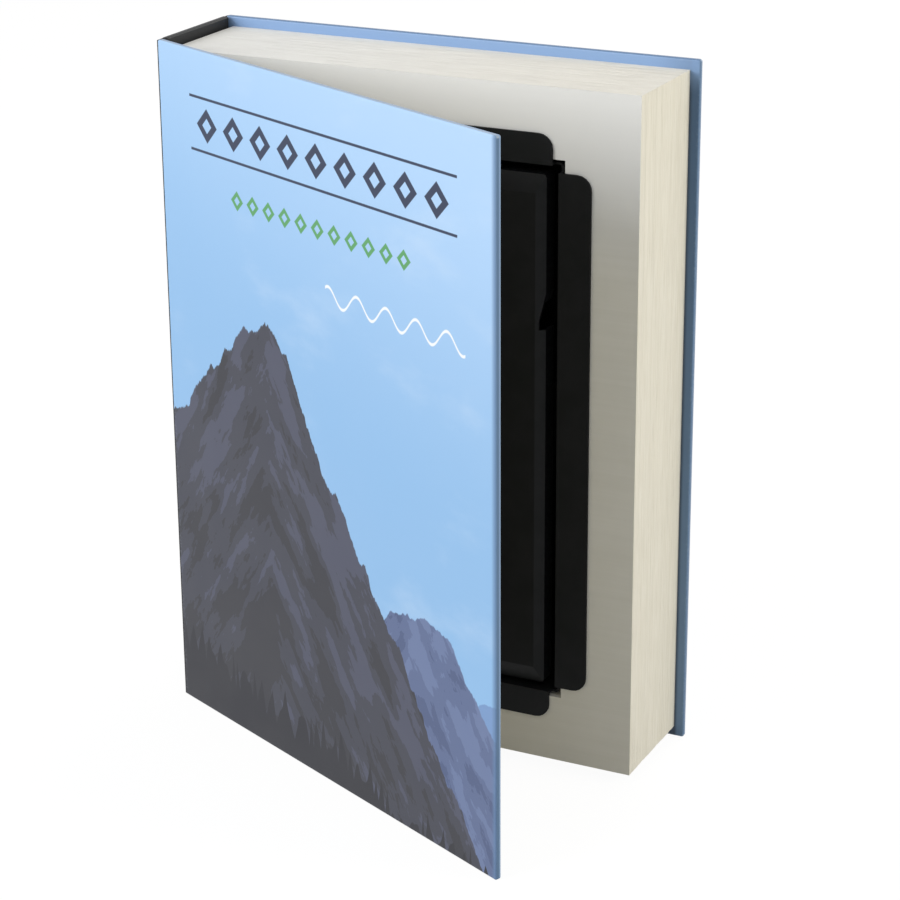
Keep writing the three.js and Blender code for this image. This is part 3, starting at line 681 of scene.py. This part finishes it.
def even_normals(piece):
    modifier = piece.modifiers.new("even_normals", "WEIGHTED_NORMAL")
    modifier.keep_sharp = True
    modifier.weight = 90


def loft(rings, caps=(True, True), flip=False):
    """Points and faces through rings of equally many points. caps close the first and last."""
    count = len(rings[0])
    last = (len(rings) - 1) * count
    points = [point for ring in rings for point in ring]
    faces = []
    for start in range(0, last, count):
        for step in range(count):
            here, beside = start + step, start + (step + 1) % count
            faces.append((here, beside, beside + count, here + count))
    if caps[0]:
        faces.append(tuple(range(count - 1, -1, -1)))
    if caps[1]:
        faces.append(tuple(range(last, last + count)))
    if flip:
        faces = [tuple(reversed(face)) for face in faces]
    return points, faces


def rounded_outline(a0, a1, b0, b1, radius):
    """A rectangle from a0 to a1 and b0 to b1 with rounded corners, anticlockwise."""
    points = []
    corners = ((a0, b0, 1, 1), (a1, b0, -1, 1), (a1, b1, -1, -1), (a0, b1, 1, -1))
    for quarter, (a, b, into_a, into_b) in enumerate(corners):
        for step in range(ARC_STEPS + 1):
            angle = math.pi + (quarter + step / ARC_STEPS) * math.pi / 2
            points.append((
                a + into_a * radius + radius * math.cos(angle),
                b + into_b * radius + radius * math.sin(angle),
            ))
    return points


def arc(centre, radius, start, end):
    """Points of an arc of (inset, depth), angles in degrees."""
    points = []
    for step in range(ARC_STEPS + 1):
        angle = math.radians(start + (end - start) * step / ARC_STEPS)
        points.append((centre[0] + radius * math.cos(angle), centre[1] + radius * math.sin(angle)))
    return points


def plate_rings(box, profile, lay, hinge_edge):
    """Rings of a plate from a profile of (inset, depth). lay turns (a, b, depth) into a point.
    hinge_edge narrows the rounding on the a0 side, but not how far the paper is turned in."""
    a0, a1, b0, b1 = box
    rings = []
    for inset, depth in profile:
        first = inset * (hinge_edge if inset < TURN_IN else 1.0)
        radius = max(CORNER_RADIUS - inset, SMALLEST_CORNER)
        outline = rounded_outline(a0 + first, a1 - inset, b0 + inset, b1 - inset, radius)
        rings.append([lay(a, b, depth) for a, b in outline])
    return rings


def front_lay(a, b, depth):
    """A point of the closed front cover, depth in from its outer face."""
    return (a, depth, b)


def back_lay(a, b, depth):
    """A point of the back cover."""
    return (a, THICK - depth, b)


def spine_lay(a, b, depth):
    """A point of the spine."""
    return (depth, a, b)


# Case: boards, paper, creases

def case_parts(name, box, lay, paper, matrix, body, nodes, flip, hinge_edge, turn_in):
    """Paper folded round a board, and the board inside it. They stand for the two CAD nodes."""
    outside, inside = (EDGE_RADIUS, EDGE_RADIUS), (EDGE_RADIUS, COVER - EDGE_RADIUS)
    fold = arc(outside, EDGE_RADIUS, 270, 180) + arc(inside, EDGE_RADIUS, 180, 90)
    fold += [(turn_in, COVER), (turn_in + 0.05, COVER - PAPER)]
    fold += arc(inside, EDGE_RADIUS - PAPER, 90, 180)
    fold += arc(outside, EDGE_RADIUS - PAPER, 180, 270)
    points, faces = loft(plate_rings(box, fold, lay, hinge_edge), flip=flip)
    wrap = make_piece(f"{name}_paper", points, faces, paper, matrix)
    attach(wrap, body)
    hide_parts(nodes[0])
    radius = EDGE_RADIUS - PAPER - 0.02
    core = arc(outside, radius, 270, 180) + arc(inside, radius, 180, 90)
    points, faces = loft(plate_rings(box, core, lay, hinge_edge), flip=flip)
    board = make_piece(f"{name}_core", points, faces, FINISHES["greyboard"], matrix)
    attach(board, body)
    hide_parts(nodes[1])
    return wrap


def grid_lines(low, high, near_end, pitch):
    """Coordinates from low to high at a pitch, and closer as near_end says at both ends."""
    inner = np.arange(low + near_end[-1] + pitch, high - near_end[-1] - pitch / 2, pitch)
    return (
        [low + gap for gap in near_end] + list(inner) + [high - gap for gap in reversed(near_end)]
    )


def paste_down(name, lay, matrix, body, node, flip, seed):
    """The endpaper on a cover's inner side. It sinks past the end of the turned-in paper under it
    and lies a little unevenly from there."""
    sheet, gap, pitch = 0.12, 0.01, 8
    sink, slope = PAPER - 0.03, 1.3
    wave, ripple = 30, 0.03
    near_end = [0, 0.3, 2, 5, 7.4, 8.0, 8.5, 9.0, 9.6, 11]
    xs = grid_lines(COVER_START + SQUARE, WIDTH - SQUARE, near_end, pitch)
    zs = grid_lines(SQUARE, HEIGHT - SQUARE, near_end, pitch)
    columns, rows = len(xs), len(zs)
    upper, lower = [], []
    for z in zs:
        for x in xs:
            inset = min(x - COVER_START, WIDTH - x, z, HEIGHT - z)
            past = min(max((inset - (TURN_IN - 0.5)) / slope, 0), 1)
            level = COVER - sink * past * past * (3 - 2 * past)
            level += ripple * noise.noise(Vector((x / wave, z / wave, seed))) * past
            upper.append(lay(x, z, level + sheet))
            lower.append(lay(x, z, level + gap))
    points = upper + lower
    count = rows * columns
    faces = []
    for row in range(rows - 1):
        for column in range(columns - 1):
            here = row * columns + column
            beside, above, across = here + 1, here + columns, here + columns + 1
            faces.append((here, above, across, beside))
            faces.append((here + count, beside + count, across + count, above + count))
    rim = list(range(columns))
    rim += [row * columns + columns - 1 for row in range(1, rows)]
    rim += [(rows - 1) * columns + column for column in range(columns - 2, -1, -1)]
    rim += [row * columns for row in range(rows - 2, 0, -1)]
    for here, beside in zip(rim, rim[1:] + rim[:1]):
        faces.append((here, beside, beside + count, here + count))
    if flip:
        faces = [tuple(reversed(face)) for face in faces]
    piece = make_piece(name, points, faces, FINISHES["endpaper"], matrix)
    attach(piece, body)
    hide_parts(node)


def strip(name, path):
    """A thin strip along a path of (x, y), almost as high as the book."""
    half = STRIP / 2
    offsets = []
    for i, (x, y) in enumerate(path):
        before, after = path[max(i - 1, 0)], path[min(i + 1, len(path) - 1)]
        dx, dy = after[0] - before[0], after[1] - before[1]
        length = math.hypot(dx, dy)
        offsets.append((-dy / length * half, dx / length * half))
    loop = [(x + ox, y + oy) for (x, y), (ox, oy) in zip(path, offsets)]
    loop += [(x - ox, y - oy) for (x, y), (ox, oy) in reversed(list(zip(path, offsets)))]
    heights = np.linspace(STRIP_END, HEIGHT - STRIP_END, 25)
    rings = [[(x, y, z) for x, y in loop] for z in heights]
    points, faces = loft(rings)
    return make_piece(name, points, faces, FINISHES["spine_covering"], sharp=60)


def turned_by_cover(x, y):
    """A point of the closed cover, where it is with the cover ajar."""
    dx, dy = x - CREASE[0], y - CREASE[1]
    cosine, sine = math.cos(-AJAR), math.sin(-AJAR)
    return (CREASE[0] + dx * cosine - dy * sine, CREASE[1] + dx * sine + dy * cosine)


def frame_point(x, y):
    """A point of book coordinates in the frame, in metres."""
    return tuple(BOOK @ Vector((x * MM, y * MM, 0)))


def make_creases():
    """The flexible covering. At the front one piece runs straight from the spine to the strip and one
    bends from the strip to the cover, and at the back it stays closed."""
    middle = STRIP / 2
    first = [(middle, y) for y in np.linspace(BEHIND_SPINE, STRIPS_MEET, 14)]
    upper = strip("front_crease_spine_side", first)
    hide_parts("front_joint_strip")
    frame_point(middle, SPINE_CREASE + BEND_REACH)
    frame_point(middle, SPINE_CREASE - BEND_REACH)
    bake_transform(upper)
    bend = [(middle, y) for y in np.linspace(STRIPS_MEET, 0.35, 7)]
    bend += [turned_by_cover(x, middle) for x in np.linspace(0.3, ON_COVER, 5)]
    lower = strip("front_crease_cover_side", bend)
    frame_point(middle, 0.6)
    frame_point(*turned_by_cover(0.6, middle))
    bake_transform(lower)
    far = [(middle, y) for y in np.linspace(THICK - BEHIND_SPINE, THICK - 0.45, 10)]
    far += [(0.19, THICK - 0.28), (0.30, THICK - 0.18)]
    far += [(x, THICK - middle) for x in np.linspace(0.45, ON_COVER, 3)]
    back = strip("back_crease", far)
    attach(back, "back")
    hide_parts("back_joint_strip")


def make_case():
    cover_box = (COVER_START, WIDTH, 0, HEIGHT)
    spine_box = (SPINE_START, THICK - SPINE_START, 0, HEIGHT)
    front = case_parts(
        "front_cover", cover_box, front_lay, FINISHES["printed_cover"], AJAR_COVER, "cover",
        ("front_cover_wrap", "front_board"), flip=False, hinge_edge=HINGE_EDGE, turn_in=TURN_IN)
    back = case_parts(
        "back_cover", cover_box, back_lay, FINISHES["cover_paper"], BOOK, "back",
        ("back_cover_wrap", "back_board"), flip=True, hinge_edge=HINGE_EDGE, turn_in=TURN_IN)
    spine = case_parts(
        "spine_case", spine_box, spine_lay, FINISHES["spine_covering"], BOOK, "back",
        ("spine_cover", "spine_board"), flip=False, hinge_edge=1.0, turn_in=SPINE_TURN_IN)
    paste_down(
        "front_paste_down", front_lay, AJAR_COVER, "cover", "front_endpaper", flip=False, seed=2.0)
    paste_down("back_paste_down", back_lay, BOOK, "back", "back_endpaper", flip=True, seed=7.0)


# Pages

def make_pages():
    """The block as a stack of thin gatherings whose trimmed edges don't quite line up."""
    thick = PAGES_BACK - PAGES_FRONT
    count = round(thick / GATHERING)
    rings = []
    for gathering in range(count):
        for layer in (gathering, gathering + 1):
            rings.append(leaf_ring(gathering, PAGES_FRONT + layer * thick / count))
    points, faces = loft(rings, caps=(False, True))
    size, base = len(rings[0]), len(points)
    # A flat frame round the pocket's opening, the pocket's walls and its floor
    for y in (PAGES_FRONT, POCKET_FLOOR):
        points += [(x, y, z) for x, z in pocket_ring()]
    for here in range(size):
        beside = (here + 1) % size
        faces.append((beside, here, base + here, base + beside))
        faces.append((base + beside, base + here, base + size + here, base + size + beside))
    faces.append(tuple(base + size + corner for corner in range(size - 1, -1, -1)))
    block = make_piece("page_stack", points, faces, FINISHES["pages"], sharp=30)
    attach(block, "back")
    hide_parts("page_block")


def leaf_ring(gathering, y):
    """One gathering's outline, each trimmed side a little in or out of line."""
    swell = 0.03 * math.sin(gathering * 0.11) + 0.015 * math.sin(gathering * 0.37 + 1)

    def shift(side, along):
        jitter = noise.noise(Vector((side * 10 + 0.5, gathering * 0.93, along * 1.7)))
        return swell - 0.06 + 0.05 * jitter

    width, height = PAGES_END - PAGES_START, PAGES_HEAD - SQUARE
    tail, fore, head, spine = [], [], [], []
    for step in range(SIDE_POINTS):
        share = step / SIDE_POINTS
        tail.append((PAGES_START + share * width, SQUARE - shift(0, share * 6)))
        fore.append((PAGES_END + shift(1, share * 9), SQUARE + share * height))
        head.append((PAGES_END - share * width, PAGES_HEAD + shift(2, share * 6)))
        spine.append((PAGES_START, PAGES_HEAD - share * height))
    # The fore edge's two corners lie where the side before them ends
    fore[0] = (fore[0][0], SQUARE - shift(0, 6))
    head[0] = (PAGES_END + shift(1, 9), head[0][1])
    return [(x, y, z) for x, z in tail + fore + head + spine]


def pocket_ring():
    """The pocket's outline, with as many points as a gathering's."""
    corners = [
        (POCKET_START, POCKET_TAIL), (POCKET_END, POCKET_TAIL),
        (POCKET_END, POCKET_HEAD), (POCKET_START, POCKET_HEAD),
    ]
    ring = []
    for (x, z), (next_x, next_z) in zip(corners, corners[1:] + corners[:1]):
        for step in range(SIDE_POINTS):
            share = step / SIDE_POINTS
            ring.append((x + (next_x - x) * share, z + (next_z - z) * share))
    return ring


# CAD nodes that stay

def dress(nodes, finish, width, segments):
    """Rounded edges and a finish for CAD nodes whose shape is right. width is in millimetres."""
    for name in nodes:
        node = frame["nodes"][name]
        node.data.materials.clear()
        node.data.materials.append(FINISHES[finish])
        bevel = node.modifiers.new("edges", "BEVEL")
        bevel.width = width * MM
        bevel.segments = segments
        bevel.limit_method = "ANGLE"
        bevel.angle_limit = math.radians(30)
        even_normals(node)


def make_finishes():
    return {
        "printed_cover": printed_cover(),
        "cover_paper": plain_cover(),
        "spine_covering": spine_covering(),
        "endpaper": endpaper(),
        "pages": page_edges(),
        "leaf": leaf_paper(),
        "greyboard": greyboard(),
        "lining": lining(),
        "tape": tape(),
        "black_steel": powder_coat(),
        "zinc_steel": zinc(),
        "chrome": nickel(),
        "brass": brass(),
    }


def dress_frame():
    by_slot = {}
    for part in frame["record"]["subparts"]:
        by_slot.setdefault(part["material_slot"], []).append(part["node"])
    large = ["box_body", "lid"]
    dress(large, "black_steel", 0.28, 3)
    small = [name for name in by_slot["black_steel"] if name not in large]
    dress(small, "black_steel", 0.12, 2)
    dress(by_slot["zinc_steel"], "zinc_steel", 0.12, 2)
    dress(by_slot["chrome"], "chrome", 0.2, 3)
    dress(by_slot["brass"], "brass", 0.12, 2)
    dress(by_slot["tape"], "tape", 0.05, 1)
    dress(["spine_lining"], "lining", 0.1, 1)
    dress(["front_flyleaf"], "leaf", 0.06, 2)


bpy.context.scene.view_settings.view_transform = "Standard"
make_camera()
make_world()
make_floor()
for lamp in LAMPS:
    make_lamp(*lamp)

FINISHES = make_finishes()
make_case()
make_creases()
make_pages()
dress_frame()
